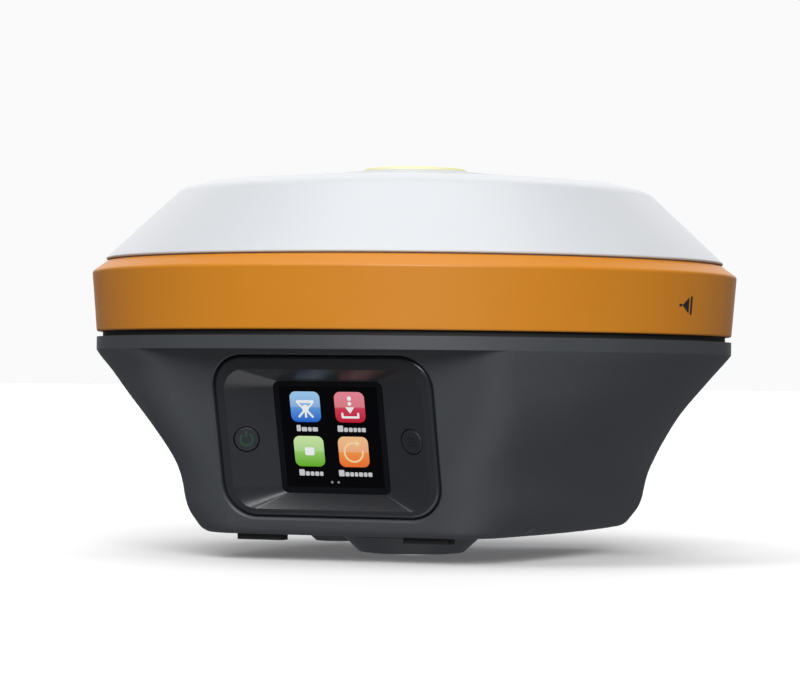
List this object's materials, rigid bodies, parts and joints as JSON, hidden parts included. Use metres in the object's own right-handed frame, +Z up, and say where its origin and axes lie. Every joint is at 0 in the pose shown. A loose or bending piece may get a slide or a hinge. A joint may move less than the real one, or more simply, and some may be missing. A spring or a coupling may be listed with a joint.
{
  "type": "gnss receiver",
  "caption": "Pole-mounted surveying satellite receiver: round antenna cover and protective ring over a tapered housing with a small screen, battery door and threaded pole socket.",
  "frame": {"origin": "centre of the pole boss's lower face, the antenna reference point", "axes": "+Z up along the pole, -Y towards the screen, +Y towards the battery door, +X to the right of someone facing the screen"},
  "size_m": [0.158, 0.158, 0.095],
  "materials": {
    "housing_plastic": "fine textured satin grey",
    "radome_plastic": "smooth satin light grey",
    "ring_rubber": "smooth satin orange elastomer",
    "badge_plastic": "pale yellow disc on a light grey boss",
    "bezel_plastic": "satin dark grey",
    "key_rubber": "matt with a moulded mark",
    "screen_glass": "black gloss lens",
    "display": "display panel",
    "seal_rubber": "matt black",
    "port_rubber": "matt dark grey",
    "steel": "turned stainless steel",
    "brass": "gold plated",
    "aluminium": "cast, bead blasted",
    "board": "green circuit board",
    "ceramic": "antenna ceramic",
    "battery_plastic": "moulded black",
    "bay_plastic": "moulded dark grey",
    "lead_jacket": "thin coaxial jacket"
  },
  "bodies": {
    "receiver": {"antenna_board": "board", "antenna_connector": "brass", "antenna_lead": "lead_jacket", "antenna_screen": "steel", "battery_bay": "bay_plastic", "battery_contacts": "brass", "battery_pack": "battery_plastic", "bezel_seal": "seal_rubber", "board_screws": "steel", "board_standoffs": "brass", "card_tray": "steel", "chassis_frame": "aluminium", "control_bezel": "bezel_plastic", "cover_screws": "steel", "cover_seal": "seal_rubber", "crown_badge": "badge_plastic", "data_socket": "aluminium", "display_module": "display", "display_ribbon": "lead_jacket", "door_seal": "seal_rubber", "foot_seal": "seal_rubber", "front_feet": "seal_rubber", "hinge_pin": "steel", "key_board": "board", "lower_housing": "housing_plastic", "lower_patch": "ceramic", "main_board": "board", "modem_module": "steel", "nameplate": "aluminium", "patch_pin": "brass", "pole_insert": "steel", "positioning_module": "steel", "protective_ring": "ring_rubber", "radio_lead": "lead_jacket", "radio_module": "steel", "radome": "radome_plastic", "rear_feet": "seal_rubber", "screen_gasket": "seal_rubber", "screen_glass": "screen_glass", "screw_plugs": "housing_plastic", "speaker": "bay_plastic", "tilt_sensor": "display", "upper_patch": "ceramic", "usb_socket": "steel", "vent_plug": "port_rubber", "wireless_antenna": "board"},
    "power_key": {"power_key": "key_rubber"},
    "function_key": {"function_key": "key_rubber"},
    "battery_door": {"battery_door": "housing_plastic"},
    "door_latch": {"door_latch": "bezel_plastic"},
    "antenna_cap": {"antenna_cap": "port_rubber"},
    "data_cap": {"data_cap": "port_rubber"},
    "usb_cap": {"usb_cap": "port_rubber"}
  },
  "joints": [
    {"name": "power_key_press", "type": "slide", "parent": "receiver", "child": "power_key", "axis": [-0.305, 0.9177, 0.2545], "range_m": [0, 0.0005], "stiffness_N_per_m": 300},
    {"name": "function_key_press", "type": "slide", "parent": "receiver", "child": "function_key", "axis": [0.305, 0.9177, 0.2545], "range_m": [0, 0.0005], "stiffness_N_per_m": 300},
    {"name": "battery_door_hinge", "type": "hinge", "parent": "receiver", "child": "battery_door", "pos_m": [0, 0.0526, 0.01361], "axis": [-1, 0, 0], "range_deg": [0, 95]},
    {"name": "door_latch_slide", "type": "slide", "parent": "battery_door", "child": "door_latch", "axis": [0, -0.2672, -0.9636], "range_m": [0, 0.0018], "stiffness_N_per_m": 200},
    {"name": "antenna_cap_hinge", "type": "hinge", "parent": "receiver", "child": "antenna_cap", "pos_m": [-0.0344, 0.011, 0.005], "axis": [0, 1, 0], "range_deg": [0, 110]},
    {"name": "data_cap_hinge", "type": "hinge", "parent": "receiver", "child": "data_cap", "pos_m": [0.0362, -0.009, 0.007], "axis": [0, -1, 0], "range_deg": [0, 110]},
    {"name": "usb_cap_hinge", "type": "hinge", "parent": "receiver", "child": "usb_cap", "pos_m": [0.0357, 0.013, 0.007], "axis": [0, -1, 0], "range_deg": [0, 110]}
  ]
}
